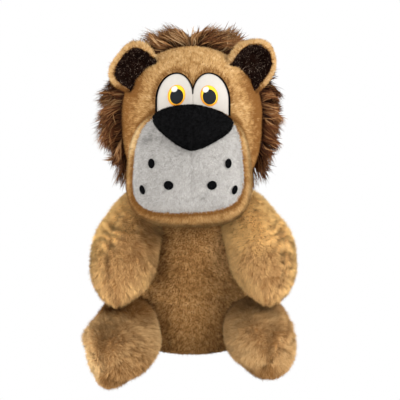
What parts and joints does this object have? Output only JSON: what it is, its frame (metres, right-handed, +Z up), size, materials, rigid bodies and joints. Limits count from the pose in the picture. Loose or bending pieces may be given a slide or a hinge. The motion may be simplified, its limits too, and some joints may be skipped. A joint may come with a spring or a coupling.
{
  "type": "plush lion",
  "caption": "Seated stuffed lion with a shaggy mane, a big pale muzzle, round ears, and soft sewn arms, legs and tail; sits on a flat seat.",
  "frame": {"origin": "on the floor, in the middle of the torso's flat seat", "axes": "+Z up through the head, -Y the way the face looks, +X to the toy's own left"},
  "size_m": [0.1894, 0.3446, 0.3104],
  "materials": {
    "tan_pile": "short tan plush pile",
    "arm_pile": "light tan plush pile, a little longer",
    "leg_pile": "tan plush pile",
    "brown_pile": "brown plush pile",
    "mane_pile": "long shaggy brown pile with lighter tips",
    "white_pile": "short white plush pile",
    "dark_pile": "dark brown pile with pale glints",
    "black_pile": "short black plush pile",
    "black_thread": "black satin stitch",
    "white_satin": "white satin cloth",
    "yellow_satin": "yellow satin stitch with an orange rim",
    "fibre_filling": "loose polyester fibre"
  },
  "bodies": {
    "torso_and_head": {"face_skin": "tan_pile", "muzzle_band": "tan_pile", "ear_back_left": "tan_pile", "ear_back_right": "tan_pile", "torso_front_skin": "brown_pile", "torso_back_skin": "brown_pile", "mane": "mane_pile", "muzzle_panel_left": "white_pile", "muzzle_panel_right": "white_pile", "ear_lining_left": "dark_pile", "ear_lining_right": "dark_pile", "nose_skin": "black_pile", "whisker_dot_upper_left": "black_thread", "whisker_dot_upper_right": "black_thread", "whisker_dot_outer_left": "black_thread", "whisker_dot_outer_right": "black_thread", "whisker_dot_inner_left": "black_thread", "whisker_dot_inner_right": "black_thread", "eye_outline": "black_thread", "pupil_left": "black_thread", "pupil_right": "black_thread", "eye_panel": "white_satin", "eye_highlight_left": "white_satin", "eye_highlight_right": "white_satin", "iris_left": "yellow_satin", "iris_right": "yellow_satin", "torso_filling": "fibre_filling", "head_filling": "fibre_filling", "muzzle_filling": "fibre_filling", "nose_filling": "fibre_filling"},
    "arm_left": {"arm_skin_left": "arm_pile", "arm_filling_left": "fibre_filling"},
    "arm_right": {"arm_skin_right": "arm_pile", "arm_filling_right": "fibre_filling"},
    "leg_left": {"leg_skin_left": "leg_pile", "leg_filling_left": "fibre_filling"},
    "leg_right": {"leg_skin_right": "leg_pile", "leg_filling_right": "fibre_filling"},
    "tail": {"tail_skin": "tan_pile", "tail_filling": "fibre_filling", "tail_tuft": "mane_pile"}
  },
  "joints": [
    {"name": "arm_left_swing", "type": "hinge", "parent": "torso_and_head", "child": "arm_left", "pos_m": [0.042, -0.003, 0.138], "axis": [0, -1, 0], "range_deg": [0, 30]},
    {"name": "arm_right_swing", "type": "hinge", "parent": "torso_and_head", "child": "arm_right", "pos_m": [-0.042, -0.003, 0.138], "axis": [0, 1, 0], "range_deg": [0, 30]},
    {"name": "leg_left_splay", "type": "hinge", "parent": "torso_and_head", "child": "leg_left", "pos_m": [0.057, -0.02, 0.0275], "axis": [0, 0, 1], "range_deg": [0, 15]},
    {"name": "leg_right_splay", "type": "hinge", "parent": "torso_and_head", "child": "leg_right", "pos_m": [-0.057, -0.02, 0.0275], "axis": [0, 0, -1], "range_deg": [0, 15]},
    {"name": "tail_lift", "type": "hinge", "parent": "torso_and_head", "child": "tail", "pos_m": [0, 0.05, 0.027], "axis": [1, 0, 0], "range_deg": [0, 40]}
  ]
}
